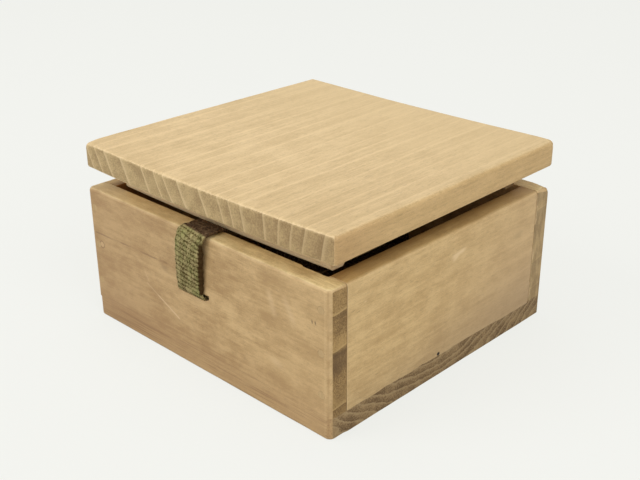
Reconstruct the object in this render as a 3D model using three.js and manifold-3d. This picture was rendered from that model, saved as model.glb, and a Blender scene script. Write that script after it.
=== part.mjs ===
// A small paulownia box for an incense container. Four boards pegged at the corners stand on a full-size
// bottom board. The lid is one thick board on two cross battens. A flat woven tape runs through a slot in the
// front wall and one in the back wall, under whatever the box holds, and its two ends are folded in over the
// rims and rolled up inside, so the lid lies on the tape with its battens just above their places.
// Millimetres, +Z up, +X to the right seen from the front, origin in the middle of the underside.
import * as THREE from "three";
import Module from "manifold-3d";
import { mergeVertices } from "three/addons/utils/BufferGeometryUtils.js";

// Box
const boxLength = 100; // along X
const boxDepth = 94.5; // along Y
const boxHeight = 42.7; // from the underside to the rim
const wallThickness = 6;
const bottomThickness = 6.5;
const cornerRadius = 2; // upright outer corners
const glueLine = 0.2; // between two boards that are glued

// Tape slots, one in the front wall and one in the back wall
const slotLength = 12.5;
const slotHeight = 2.2;
const slotOffset = -1.95; // of the slot's middle from the middle of the wall
const slotSill = 22.9; // lower edge of the slot above the underside

// Wooden pegs
const pegRadius = 1.1;
const pegLength = 16;
const pegClearance = 0.15; // around a peg and past its blind end
const pegRecess = 0.3; // of the floor and batten pegs behind the face they are driven from
const cornerPegShares = [1 / 6, 1 / 2, 5 / 6]; // of the wall's height
const floorPegShare = 0.24; // of the box's length or depth, from the middle

// Lid
const lidLength = boxLength; // the lid has the box's footprint
const lidDepth = boxDepth;
const lidThickness = 7.7;
const lidCup = 0.9; // how far the left and right edges stand above the middle
const lidEdgeRadius = 2; // along the four top edges
const battenHeight = 6;
const battenWidth = 5;
const battenWallGap = 1.5; // from a batten's outer face to the front or back wall when the lid is closed
const battenEndGap = 2.5; // from a batten's end to the side wall when the lid is closed
const battenChamfer = 0.6; // along the lower edges
const battenPegLength = 10;
const battenPegShare = 0.29; // of the lid's length, from the middle

// Where the lid lies: raised on the tape, a little to the right and to the back, and turned a little
const lidRise = 5.8; // of the middle of its underside above the rim
const lidShiftX = 1.1;
const lidShiftY = 0.1;
const lidTurn = THREE.MathUtils.degToRad(0.35);

// Tape
const tapeWidth = 10.4;
const tapeThickness = 0.9;
const coilRadius = 15.5; // of the outer turn, to the middle of the tape
const coilCore = 4.5; // of the innermost turn
const coilHeight = 12; // of the middle of the tape that stands on edge, above the underside
const coilCentres = [
  [19.5, -18],
  [-24.5, 18],
];

// Drawing
const overrun = 1; // of a cut past the face it starts from
const arcSegments = 6; // per quarter circle
const pegSides = 12;
const coilSides = 32;
const cupStations = 13; // along a cupped board

const wood = (color, roughness = 0.72) => new THREE.MeshStandardMaterial({ color, roughness, metalness: 0 });
const wallWood = wood(0xbe9b70);
const sideWood = wood(0xc3a274);
const bottomWood = wood(0x8f724d, 0.8);
const lidWood = wood(0xdec498);
const battenWood = wood(0xb9a076);
const pegWood = wood(0xc8ad80);
const tapeCloth = wood(0x86875a, 0.9);

const wasm = await Module();
wasm.setup();

// A closed geometry as a manifold-3d solid, and back.
function toSolid(geometry) {
  const bare = new THREE.BufferGeometry().setAttribute("position", geometry.getAttribute("position"));
  if (geometry.index) bare.setIndex(geometry.index);
  const merged = mergeVertices(bare);
  return new wasm.Manifold(
    new wasm.Mesh({
      numProp: 3,
      vertProperties: merged.getAttribute("position").array,
      triVerts: new Uint32Array(merged.index.array),
    }),
  );
}

function toGeometry(solid) {
  const { vertProperties, triVerts } = solid.getMesh();
  const geometry = new THREE.BufferGeometry();
  geometry.setAttribute("position", new THREE.BufferAttribute(vertProperties, 3));
  geometry.setIndex(new THREE.BufferAttribute(triVerts, 1));
  geometry.computeVertexNormals();
  return geometry;
}

const cut = (geometry, cutters) =>
  toGeometry(cutters.reduce((left, cutter) => left.subtract(toSolid(cutter)), toSolid(geometry)));

// A rectangle from low to high whose corners, from the low one anticlockwise, are rounded by the radii.
function roundedRectangle([x0, y0], [x1, y1], [r0, r1, r2, r3]) {
  const quarter = Math.PI / 2;
  const shape = new THREE.Shape();
  const corners = [
    [x0, y0, r0, 1, 1],
    [x1, y0, r1, -1, 1],
    [x1, y1, r2, -1, -1],
    [x0, y1, r3, 1, -1],
  ];
  corners.forEach(([x, y, r, inX, inY], i) => {
    const start = Math.PI + i * quarter;
    if (r > 0) shape.absarc(x + inX * r, y + inY * r, r, start, start + quarter, false);
    else if (i === 0) shape.moveTo(x, y);
    else shape.lineTo(x, y);
  });
  shape.closePath();
  return shape;
}

const upright = (shape, from, to) =>
  new THREE.ExtrudeGeometry(shape, {
    depth: to - from,
    bevelEnabled: false,
    curveSegments: arcSegments,
  }).translate(0, 0, from);

// A peg, or the hole for one, from one point along an axis.
function pegGeometry([x, y, z], axis, length, radius) {
  const geometry = new THREE.CylinderGeometry(radius, radius, length, pegSides).translate(0, length / 2, 0);
  const turn = new THREE.Quaternion().setFromUnitVectors(new THREE.Vector3(0, 1, 0), axis);
  return geometry.applyQuaternion(turn).translate(x, y, z);
}

// The hole starts a little before the peg and ends a little past it.
function pegHole([x, y, z], axis, length) {
  const start = [x - axis.x * overrun, y - axis.y * overrun, z - axis.z * overrun];
  return pegGeometry(start, axis, length + overrun + pegClearance, pegRadius + pegClearance);
}

// A path that carries its own cross directions, so that a flat section keeps its right side up.
// Each station is a point, the direction of the section's x, and the direction of its y.
class StationPath extends THREE.Curve {
  constructor(stations) {
    super();
    this.stations = stations;
  }
  getSpacedPoints() {
    return this.stations.map((station) => station.at);
  }
  computeFrenetFrames() {
    const normals = this.stations.map((station) => station.across);
    const binormals = this.stations.map((station) => station.up);
    return { normals, binormals };
  }
}

const sweep = (shape, stations) =>
  new THREE.ExtrudeGeometry(shape, {
    steps: stations.length - 1,
    extrudePath: new StationPath(stations),
    curveSegments: arcSegments,
  });

const part = new THREE.Group();
const lid = new THREE.Group();
part.add(lid);

function addPiece(group, name, geometry, material) {
  const mesh = new THREE.Mesh(geometry, material);
  mesh.name = name;
  group.add(mesh);
}

const halfLength = boxLength / 2;
const halfDepth = boxDepth / 2;
const wallFoot = bottomThickness + glueLine;
const wallMiddle = wallThickness / 2;
const inward = { front: new THREE.Vector3(0, 1, 0), back: new THREE.Vector3(0, -1, 0) };
const upward = new THREE.Vector3(0, 0, 1);

// Floor pegs: two under each wall, driven up through the bottom board
const floorPegs = [];
for (const [side, sign] of [["left", -1], ["right", 1]]) {
  const alongX = sign * floorPegShare * boxLength;
  const alongY = sign * floorPegShare * boxDepth;
  floorPegs.push(
    { name: `floor_peg_front_${side}`, wall: "front_wall", at: [alongX, wallMiddle - halfDepth, pegRecess] },
    { name: `floor_peg_back_${side}`, wall: "back_wall", at: [alongX, halfDepth - wallMiddle, pegRecess] },
    {
      name: `floor_peg_left_${sign < 0 ? "fore" : "aft"}`,
      wall: "left_wall",
      at: [wallMiddle - halfLength, alongY, pegRecess],
    },
    {
      name: `floor_peg_right_${sign < 0 ? "fore" : "aft"}`,
      wall: "right_wall",
      at: [halfLength - wallMiddle, alongY, pegRecess],
    },
  );
}
const floorPegHoles = floorPegs.map((peg) => pegHole(peg.at, upward, pegLength));
for (const peg of floorPegs) addPiece(part, peg.name, pegGeometry(peg.at, upward, pegLength, pegRadius), pegWood);

// Corner pegs: three at each corner, through the front or back wall into the end of a side wall
const cornerPegs = [];
for (const [face, faceY] of [["front", -halfDepth], ["back", halfDepth]])
  for (const [side, sideX] of [["left", wallMiddle - halfLength], ["right", halfLength - wallMiddle]])
    cornerPegShares.forEach((share, i) =>
      cornerPegs.push({
        name: `corner_peg_${face}_${side}_${i + 1}`,
        face,
        side,
        at: [sideX, faceY, wallFoot + share * (boxHeight - wallFoot)],
      }),
    );
for (const peg of cornerPegs)
  addPiece(part, peg.name, pegGeometry(peg.at, inward[peg.face], pegLength, pegRadius), pegWood);

const holesOf = (wall) => [
  ...floorPegs.map((peg, i) => (peg.wall === wall ? floorPegHoles[i] : null)),
  ...cornerPegs.map((peg) =>
    `${peg.face}_wall` === wall || `${peg.side}_wall` === wall ? pegHole(peg.at, inward[peg.face], pegLength) : null,
  ),
].filter(Boolean);

// Bottom board
const wholePlan = roundedRectangle(
  [-halfLength, -halfDepth],
  [halfLength, halfDepth],
  [cornerRadius, cornerRadius, cornerRadius, cornerRadius],
);
addPiece(part, "bottom_board", cut(upright(wholePlan, 0, bottomThickness), floorPegHoles), bottomWood);

// Front and back walls, each with its tape slot
for (const [face, sign] of [["front", -1], ["back", 1]]) {
  const outer = sign * halfDepth;
  const inner = sign * (halfDepth - wallThickness);
  const radii = sign < 0 ? [cornerRadius, cornerRadius, 0, 0] : [0, 0, cornerRadius, cornerRadius];
  const plan = roundedRectangle([-halfLength, Math.min(outer, inner)], [halfLength, Math.max(outer, inner)], radii);
  const slot = new THREE.BoxGeometry(slotLength, wallThickness + 2 * overrun, slotHeight);
  slot.translate(slotOffset, (outer + inner) / 2, slotSill + slotHeight / 2);
  const wall = cut(upright(plan, wallFoot, boxHeight), [slot, ...holesOf(`${face}_wall`)]);
  addPiece(part, `${face}_wall`, wall, wallWood);
}

// Left and right walls, between the front and back walls
for (const [side, sign] of [["left", -1], ["right", 1]]) {
  const outer = sign * halfLength;
  const inner = sign * (halfLength - wallThickness);
  const end = halfDepth - wallThickness - glueLine;
  const plan = roundedRectangle([Math.min(outer, inner), -end], [Math.max(outer, inner), end], [0, 0, 0, 0]);
  addPiece(part, `${side}_wall`, cut(upright(plan, wallFoot, boxHeight), holesOf(`${side}_wall`)), sideWood);
}

// The lid's cup is part of a circle in the XZ plane; the rise is measured from the middle.
const cupRadius = (lidLength * lidLength / 4 + lidCup * lidCup) / (2 * lidCup);
const cupRise = (x) => cupRadius - Math.sqrt(cupRadius * cupRadius - x * x);

// A board that follows the cup, drawn as its section across Y and Z.
function cuppedBoard(section, length) {
  const stations = [];
  for (let i = 0; i < cupStations; i++) {
    const x = length * (i / (cupStations - 1) - 1 / 2);
    stations.push({
      at: new THREE.Vector3(x, 0, cupRise(x)),
      across: new THREE.Vector3(0, 1, 0),
      up: new THREE.Vector3(0, 0, 1),
    });
  }
  return sweep(section, stations);
}

// Batten pegs, from below through a batten into the lid board
const battenReach = halfDepth - wallThickness - battenWallGap - battenWidth / 2;
const battenPegs = [];
for (const [face, sign] of [["front", -1], ["back", 1]])
  for (const [side, way] of [["left", -1], ["right", 1]]) {
    const x = way * battenPegShare * lidLength;
    battenPegs.push({
      name: `batten_peg_${face}_${side}`,
      batten: `${face}_batten`,
      at: [x, sign * battenReach, cupRise(x) - glueLine - battenHeight + pegRecess],
    });
  }
const battenPegHole = (peg) => pegHole(peg.at, upward, battenPegLength);
for (const peg of battenPegs)
  addPiece(lid, peg.name, pegGeometry(peg.at, upward, battenPegLength, pegRadius), pegWood);

// Lid board: the section rounds the front and back top edges, two cutters round the left and right ones
const halfLidDepth = lidDepth / 2;
const lidSection = roundedRectangle(
  [-halfLidDepth, 0],
  [halfLidDepth, lidThickness],
  [0, 0, lidEdgeRadius, lidEdgeRadius],
);
const edgeCutters = [-1, 1].map((sign) => {
  const top = cupRise(lidLength / 2) + lidThickness;
  const corner = new THREE.Shape();
  const centreX = sign * (lidLength / 2 - lidEdgeRadius);
  const centreZ = top - lidEdgeRadius;
  corner.moveTo(centreX, top + overrun);
  corner.lineTo(centreX, top);
  corner.absarc(centreX, centreZ, lidEdgeRadius, Math.PI / 2, sign > 0 ? 0 : Math.PI, sign > 0);
  corner.lineTo(sign * (lidLength / 2 + overrun), centreZ);
  corner.lineTo(sign * (lidLength / 2 + overrun), top + overrun);
  corner.closePath();
  const length = lidDepth + 2 * overrun;
  const cutter = new THREE.ExtrudeGeometry(corner, {
    depth: length,
    bevelEnabled: false,
    curveSegments: arcSegments,
  });
  return cutter.rotateX(Math.PI / 2).translate(0, length / 2, 0);
});
const lidBoard = cut(cuppedBoard(lidSection, lidLength), [...edgeCutters, ...battenPegs.map(battenPegHole)]);
addPiece(lid, "lid_board", lidBoard, lidWood);

// Battens, chamfered along their lower edges
const battenLength = boxLength - 2 * wallThickness - 2 * battenEndGap;
for (const [face, sign] of [["front", -1], ["back", 1]]) {
  const middle = sign * battenReach;
  const half = battenWidth / 2;
  const foot = -glueLine - battenHeight;
  const section = new THREE.Shape();
  section.moveTo(middle - half + battenChamfer, foot);
  section.lineTo(middle + half - battenChamfer, foot);
  section.lineTo(middle + half, foot + battenChamfer);
  section.lineTo(middle + half, -glueLine);
  section.lineTo(middle - half, -glueLine);
  section.lineTo(middle - half, foot + battenChamfer);
  section.closePath();
  const holes = battenPegs.filter((peg) => peg.batten === `${face}_batten`).map(battenPegHole);
  addPiece(lid, `${face}_batten`, cut(cuppedBoard(section, battenLength), holes), battenWood);
}
lid.position.set(lidShiftX, lidShiftY, boxHeight + lidRise);
lid.rotation.z = lidTurn;

// The tape's route between its two coils: x, y, z, and how far its width is turned from X, in degrees.
const tapeRoute = [
  [3.6, -25, 12.2, 88],
  [3.2, -30, 14.4, 76],
  [2.2, -34.8, 19.5, 48],
  [1, -38.4, 28, 18],
  [0.4, -40.45, 41.6, 0],
  [0.4, -40.75, 43.1, 0],
  [0.4, -41.7, 43.45, 0],
  [0.4, -45.8, 43.55, 0],
  [0.3, -47.4, 43.5, 0],
  [0.1, -48.5, 42.6, 0],
  [-0.6, -49.1, 39.5, 0],
  [-2.4, -47.95, 25.2, 0],
  [-2.5, -47.4, 24, 0],
  [-2.6, -46.2, 23.65, 0],
  [-2.6, -41.5, 23.65, 0],
  [-2.6, -40.7, 23.3, 0],
  [-2.6, -40.5, 22.3, 0],
  [-2.6, -40.5, 9.4, 0],
  [-2.6, -40, 7.8, 0],
  [-2.6, -38.4, 7.3, 0],
  [-2.6, -34, 7.25, 0],
  [-2.6, 34, 7.25, 0],
  [-2.6, 38.4, 7.3, 0],
  [-2.6, 40, 7.8, 0],
  [-2.6, 40.5, 9.4, 0],
  [-2.6, 40.5, 22.3, 0],
  [-2.6, 40.7, 23.3, 0],
  [-2.6, 41.5, 23.65, 0],
  [-2.6, 46.5, 23.7, 0],
  [-2.6, 48, 24.9, 0],
  [-2.6, 48.7, 34, 0],
  [-2.6, 48.6, 42.4, 0],
  [-2.6, 47, 43.55, 0],
  [-2.6, 41.7, 43.45, 0],
  [-2.6, 40.85, 43.1, 0],
  [-2.6, 40.5, 41.6, 0],
  [-3.6, 38.4, 28, 18],
  [-5.8, 34.8, 19.5, 48],
  [-7.8, 30, 14.4, 76],
  [-8.6, 25, 12.2, 88],
];
const routeSpline = new THREE.CatmullRomCurve3(tapeRoute.map(([x, y, z]) => new THREE.Vector3(x, y, z)));
const tapeStations = [];
const routeSteps = 2 * (tapeRoute.length - 1);
for (let i = 0; i <= routeSteps; i++) {
  const t = i / routeSteps;
  const along = routeSpline.getTangent(t);
  const level = new THREE.Vector3(1, 0, 0).addScaledVector(along, -along.x).normalize();
  const [before, after] = [tapeRoute[Math.floor(i / 2)], tapeRoute[Math.ceil(i / 2)]];
  const turn = THREE.MathUtils.degToRad((before[3] + after[3]) / 2);
  const across = level.applyAxisAngle(along, turn);
  tapeStations.push({ at: routeSpline.getPoint(t), across, up: along.clone().cross(across) });
}
const halfWidth = tapeWidth / 2;
const halfThickness = tapeThickness / 2;
const selvedge = tapeThickness / 4; // the rounding of the tape's two edges
const tapeSection = new THREE.Shape([
  new THREE.Vector2(-halfWidth, selvedge - halfThickness),
  new THREE.Vector2(selvedge - halfWidth, -halfThickness),
  new THREE.Vector2(halfWidth - selvedge, -halfThickness),
  new THREE.Vector2(halfWidth, selvedge - halfThickness),
  new THREE.Vector2(halfWidth, halfThickness - selvedge),
  new THREE.Vector2(halfWidth - selvedge, halfThickness),
  new THREE.Vector2(selvedge - halfWidth, halfThickness),
  new THREE.Vector2(-halfWidth, halfThickness - selvedge),
]);
addPiece(part, "himo_band", sweep(tapeSection, tapeStations), tapeCloth);

// The two rolled ends stand on edge on the floor of the box.
["front", "back"].forEach((face, i) => {
  const outside = coilRadius + halfThickness;
  const inside = coilCore - halfThickness;
  const profile = [
    new THREE.Vector2(inside, -halfWidth),
    new THREE.Vector2(outside, -halfWidth),
    new THREE.Vector2(outside, halfWidth),
    new THREE.Vector2(inside, halfWidth),
    new THREE.Vector2(inside, -halfWidth),
  ];
  const ring = new THREE.LatheGeometry(profile, coilSides).rotateX(Math.PI / 2);
  ring.translate(...coilCentres[i], coilHeight);
  addPiece(part, `himo_${face}_coil`, ring, tapeCloth);
});

export default part;
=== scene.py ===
# A small paulownia box for an incense container: a pegged box on a full bottom board, a lid on two battens,
# and a flat woven tape that runs through the walls and is folded in over the front and back rims.
import math

import bpy
import numpy as np
from mathutils import Matrix, Vector, noise


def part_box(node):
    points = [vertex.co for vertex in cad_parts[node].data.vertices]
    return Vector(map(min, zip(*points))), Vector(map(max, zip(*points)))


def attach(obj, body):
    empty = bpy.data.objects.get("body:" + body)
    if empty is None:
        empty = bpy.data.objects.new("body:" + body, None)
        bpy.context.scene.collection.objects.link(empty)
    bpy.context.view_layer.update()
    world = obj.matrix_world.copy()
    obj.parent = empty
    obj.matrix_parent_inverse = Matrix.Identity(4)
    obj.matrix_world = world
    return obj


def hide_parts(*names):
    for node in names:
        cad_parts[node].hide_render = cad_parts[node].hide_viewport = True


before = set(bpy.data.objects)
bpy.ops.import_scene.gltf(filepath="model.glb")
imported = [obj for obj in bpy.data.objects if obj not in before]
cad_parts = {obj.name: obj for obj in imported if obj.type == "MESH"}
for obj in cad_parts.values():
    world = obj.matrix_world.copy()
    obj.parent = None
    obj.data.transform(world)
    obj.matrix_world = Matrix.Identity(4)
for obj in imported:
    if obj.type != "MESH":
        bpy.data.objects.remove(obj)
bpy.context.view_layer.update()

mm = 0.001
scene = bpy.context.scene
scene.view_settings.view_transform = "Standard"


# Camera
# It looks down at the corner between the front wall, on the left, and the right wall.
camera_azimuth = math.radians(-45.825)
camera_height = math.radians(24.376)
camera_tilt = math.radians(-0.348)
camera_distance = 309.9 * mm
camera_aim = Vector((-2.017, 3.054, 23.448)) * mm
frame_width = 640  # pixels
focal_pixels = 1003


def direction(azimuth, height):
    """A vector 1 long, from its angle round from X and its angle up from the level."""
    return Vector((
        math.cos(azimuth) * math.cos(height),
        math.sin(azimuth) * math.cos(height),
        math.sin(height),
    ))


away = direction(camera_azimuth, camera_height)
level = Vector((0, 0, 1)).cross(away).normalized()
rise = away.cross(level)
camera_right = level * math.cos(camera_tilt) + rise * math.sin(camera_tilt)
camera_up = rise * math.cos(camera_tilt) - level * math.sin(camera_tilt)
lens = bpy.data.cameras.new("camera")
lens.sensor_width = 36
lens.lens = lens.sensor_width * focal_pixels / frame_width
lens.clip_start = 10 * mm
camera = bpy.data.objects.new("camera", lens)
scene.collection.objects.link(camera)
turned = Matrix((camera_right, camera_up, away)).transposed().to_4x4()
camera.matrix_world = Matrix.Translation(camera_aim + away * camera_distance) @ turned
scene.camera = camera


# Himo tape
# One flat woven band, about 10 mm wide. Its middle lies on the floor of the box. It leaves through the slot
# in each wall and is folded in over the rim, under the lid; each end is rolled up and stands on edge inside.
tape_width = 10.4 * mm
tape_thickness = 0.9 * mm
coil_radius = 15.5 * mm
coil_core = 4.5 * mm
coil_pitch = 4 * mm
coil_height = 12 * mm
coil_points_per_turn = 12
# x, y and z in millimetres, and how far the width is turned from X, in degrees
tape_route = [
    (3.6, -25, 12.2, 88), (3.2, -30, 14.4, 76), (2.2, -34.8, 19.5, 48), (1, -38.4, 28, 18),
    (0.4, -40.45, 41.6, 0), (0.4, -40.75, 43.1, 0), (0.4, -41.7, 43.45, 0), (0.4, -45.8, 43.55, 0),
    (0.3, -47.4, 43.5, 0), (0.1, -48.5, 42.6, 0), (-0.6, -49.1, 39.5, 0), (-2.4, -47.95, 25.2, 0),
    (-2.5, -47.4, 24, 0), (-2.6, -46.2, 23.65, 0), (-2.6, -41.5, 23.65, 0), (-2.6, -40.7, 23.3, 0),
    (-2.6, -40.5, 22.3, 0), (-2.6, -40.5, 9.4, 0), (-2.6, -40, 7.8, 0), (-2.6, -38.4, 7.3, 0),
    (-2.6, -34, 7.25, 0), (-2.6, 34, 7.25, 0), (-2.6, 38.4, 7.3, 0), (-2.6, 40, 7.8, 0),
    (-2.6, 40.5, 9.4, 0), (-2.6, 40.5, 22.3, 0), (-2.6, 40.7, 23.3, 0), (-2.6, 41.5, 23.65, 0),
    (-2.6, 46.5, 23.7, 0), (-2.6, 48, 24.9, 0), (-2.6, 48.7, 34, 0), (-2.6, 48.6, 42.4, 0),
    (-2.6, 47, 43.55, 0), (-2.6, 41.7, 43.45, 0), (-2.6, 40.85, 43.1, 0), (-2.6, 40.5, 41.6, 0),
    (-3.6, 38.4, 28, 18), (-5.8, 34.8, 19.5, 48), (-7.8, 30, 14.4, 76), (-8.6, 25, 12.2, 88),
]
# Points of the route, counted from 0: at the outer edge of each rim, in each slot, and where an edge curls
front_rim = 8
front_slot = 13
back_slot = 27
back_rim = 32
curl_from = 9
curl_to = 11


def coil(centre, start_degrees):
    """The points of a rolled end from its outside inwards, clockwise seen from above."""
    turns = (coil_radius - coil_core) / coil_pitch
    points = []
    for i in range(round(turns * coil_points_per_turn) + 1):
        turned_by = i / coil_points_per_turn
        angle = math.radians(start_degrees) - math.tau * turned_by
        radius = coil_radius - coil_pitch * turned_by
        points.append((
            centre[0] * mm + radius * math.cos(angle),
            centre[1] * mm + radius * math.sin(angle),
            coil_height,
        ))
    return points


def spline(points, spacing):
    """A smooth curve through the points: its places, and where each of them lies in the list of points."""
    points = np.array(points, float)
    ends = np.vstack([2 * points[0] - points[1], points, 2 * points[-1] - points[-2]])
    places, shares = [], []
    for i in range(len(points) - 1):
        p0, p1, p2, p3 = ends[i:i + 4]
        d0, d1, d2 = (math.sqrt(np.linalg.norm(b - a)) for a, b in ((p0, p1), (p1, p2), (p2, p3)))
        m1 = ((p1 - p0) / d0 - (p2 - p0) / (d0 + d1) + (p2 - p1) / d1) * d1
        m2 = ((p2 - p1) / d1 - (p3 - p1) / (d1 + d2) + (p3 - p2) / d2) * d1
        steps = max(1, round(np.linalg.norm(p2 - p1) / spacing(i)))
        for t in np.arange(steps) / steps:
            places.append(
                (2 * t**3 - 3 * t**2 + 1) * p1 + (t**3 - 2 * t**2 + t) * m1
                + (3 * t**2 - 2 * t**3) * p2 + (t**3 - t**2) * m2
            )
            shares.append(i + t)
    return np.array(places + [points[-1]]), np.array(shares + [len(points) - 1])


def unit(vectors):
    """The vectors, each made 1 long."""
    return vectors / np.linalg.norm(vectors, axis=-1, keepdims=True)


def smoothly(value, low, high):
    """0 at low, 1 at high, and smooth between."""
    t = np.clip((value - low) / (high - low), 0, 1)
    return t * t * (3 - 2 * t)


front_coil = coil((19.5, -18), 180)[::-1]
back_coil = coil((-24.5, 18), 0)
route = [tuple(v * mm for v in point[:3]) for point in tape_route]
tape_points = np.array(front_coil + route + back_coil)
first_route_point = len(front_coil)

# The mesh is fine along the stretches that show outside, and coarser along the rest.
fine_step = 0.16 * mm
plain_step = 0.4 * mm
outside = [*range(front_rim - 3, front_slot), *range(back_slot + 1, back_rim + 2)]
tape_line, tape_share = spline(
    tape_points,
    lambda i: fine_step if i - first_route_point in outside else plain_step,
)
tape_along = unit(np.gradient(tape_line, axis=0))
tape_length = np.concatenate([[0], np.cumsum(np.linalg.norm(np.diff(tape_line, axis=0), axis=1))])

# Across the tape: upright in the coils, and turned from X along the route.
rough_along = unit(np.gradient(tape_points, axis=0))
across_points = np.tile([0.0, 0.0, 1.0], (len(tape_points), 1))
for i, (*_, degrees) in enumerate(tape_route, first_route_point):
    along = Vector(rough_along[i])
    flat = (Vector((1, 0, 0)) - along * along.x).normalized()
    across_points[i] = Matrix.Rotation(math.radians(degrees), 3, along) @ flat
tape_across = np.stack(
    [np.interp(tape_share, np.arange(len(tape_points)), across_points[:, k]) for k in range(3)], axis=1
)
tape_across = unit(tape_across - tape_along * (tape_across * tape_along).sum(1, keepdims=True))
tape_out = np.cross(tape_along, tape_across)

# A ribbed weave: thick picks lie side by side across the tape, and the warp draws each into short lumps.
yarn_pitch = 1.5 * mm
pick_pitch = 1.47 * mm
yarn_relief = 0.17 * mm
lump_share = 0.3  # of the relief, for the lumps along a pick
relief_fade = 0.4 * mm  # beside each selvedge
selvedge_reach = 0.2 * tape_thickness  # of the round edge, past the flat faces
selvedge_wave = 0.12 * mm
selvedge_share = 0.97  # of the half width: the wave moves the mesh past it
columns = 49
selvedge_columns = 3
# On the front, the tape's right edge curls towards the wall where it hangs clear of it.
curl_width = 1.5 * mm
curl_depth = 0.8 * mm
curl_gap = 0.6 * tape_thickness
wall_face = -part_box("front_wall")[0].y


def crown(place, pitch):
    """Height of a soft yarn's back, from 0 between two yarns to 1 on top."""
    side = 2 * (place / pitch - np.floor(place / pitch)) - 1
    return 1 - side**2


face_across = np.linspace(-1, 1, columns) * (tape_width / 2 - selvedge_reach)
ring_across, ring_side = [], []
for side in (1, -1):
    ring_across += list(side * face_across)
    ring_side += [side] * columns
    for i in range(selvedge_columns):
        angle = math.pi * (i + 1) / (selvedge_columns + 1)
        ring_across.append(side * (face_across[-1] + math.sin(angle) * selvedge_reach))
        ring_side.append(side * math.cos(angle))
ring_across, ring_side = np.array(ring_across), np.array(ring_side)
lumps = 1 - lump_share + lump_share * crown(ring_across, yarn_pitch)
height = crown(tape_length, pick_pitch)[:, None] * lumps
height *= np.clip((tape_width / 2 - abs(ring_across)) / relief_fade, 0, 1)
offset = ring_side * (tape_thickness / 2 - yarn_relief + height * yarn_relief)
room_behind = np.clip(-tape_line[:, 1] - wall_face - curl_gap, 0, curl_depth)
room_behind *= smoothly(tape_share - first_route_point, curl_from, curl_from + 1)
offset -= room_behind[:, None] * np.clip((ring_across - tape_width / 2 + curl_width) / curl_width, 0, 1)**2
wave = selvedge_wave * np.cos(math.tau * tape_length / (2 * pick_pitch))
moved = np.sign(ring_across) * (abs(ring_across) > selvedge_share * face_across[-1])
ring = ring_across + moved * wave[:, None]
tape_vertices = (
    tape_line[:, None] + tape_across[:, None] * ring[:, :, None] + tape_out[:, None] * offset[:, :, None]
)


def mesh_object(name, vertices, faces):
    """A new smooth mesh object from its points and faces."""
    mesh = bpy.data.meshes.new(name)
    mesh.from_pydata([tuple(v) for v in vertices], [], [tuple(f) for f in faces])
    mesh.validate()
    mesh.polygons.foreach_set("use_smooth", [True] * len(mesh.polygons))
    made = bpy.data.objects.new(name, mesh)
    scene.collection.objects.link(made)
    return made


stations, around = tape_vertices.shape[:2]
numbers = np.arange(stations * around).reshape(stations, around)
following = np.roll(numbers, -1, axis=1)
sides = np.stack([numbers[:-1], following[:-1], following[1:], numbers[1:]], axis=-1).reshape(-1, 4)
tape_faces = [*sides.tolist(), numbers[0][::-1].tolist(), numbers[-1].tolist()]
himo = mesh_object("himo_tape", tape_vertices.reshape(-1, 3), tape_faces)
weave_unit = 100  # millimetres of tape to one unit of the map
weave_map = himo.data.uv_layers.new(name="weave")
loop_vertex = np.zeros(len(himo.data.loops), np.int32)
himo.data.loops.foreach_get("vertex_index", loop_vertex)
weave_place = np.stack([np.repeat(tape_length, around), np.tile(ring_across, stations)], axis=1)
weave_map.uv.foreach_set("vector", (weave_place[loop_vertex] / mm / weave_unit).astype(np.float32).ravel())


class Value:
    """One output of a material's nodes. Sums on it add Math nodes."""

    def __init__(self, finish, socket):
        self.finish = finish
        self.socket = socket

    def maths(self, operation, *terms):
        """What one Math node makes of these terms."""
        return self.finish.node("Math", {"operation": operation}, dict(enumerate(terms)))

    def __add__(self, other):
        return self.maths("ADD", self, other)

    def __sub__(self, other):
        return self.maths("SUBTRACT", self, other)

    def __rsub__(self, other):
        return self.maths("SUBTRACT", other, self)

    def __mul__(self, other):
        return self.maths("MULTIPLY", self, other)

    def __truediv__(self, other):
        return self.maths("DIVIDE", self, other)

    def __pow__(self, other):
        return self.maths("POWER", self, other)

    def __neg__(self):
        return self.maths("MULTIPLY", self, -1)

    def __abs__(self):
        return self.maths("ABSOLUTE", self)

    __radd__ = __add__
    __rmul__ = __mul__

    def share(self, low, high):
        """0 at low and below, 1 at high and above, and smooth between."""
        settings = {"interpolation_type": "SMOOTHSTEP"}
        return self.finish.node("MapRange", settings, {0: self, 1: low, 2: high, 3: 0.0, 4: 1.0})

    def near(self, centre, reach):
        """1 at the centre, 0 at a reach from it and further, and smooth between."""
        return 1 - abs(self - centre).share(0, reach)


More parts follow.
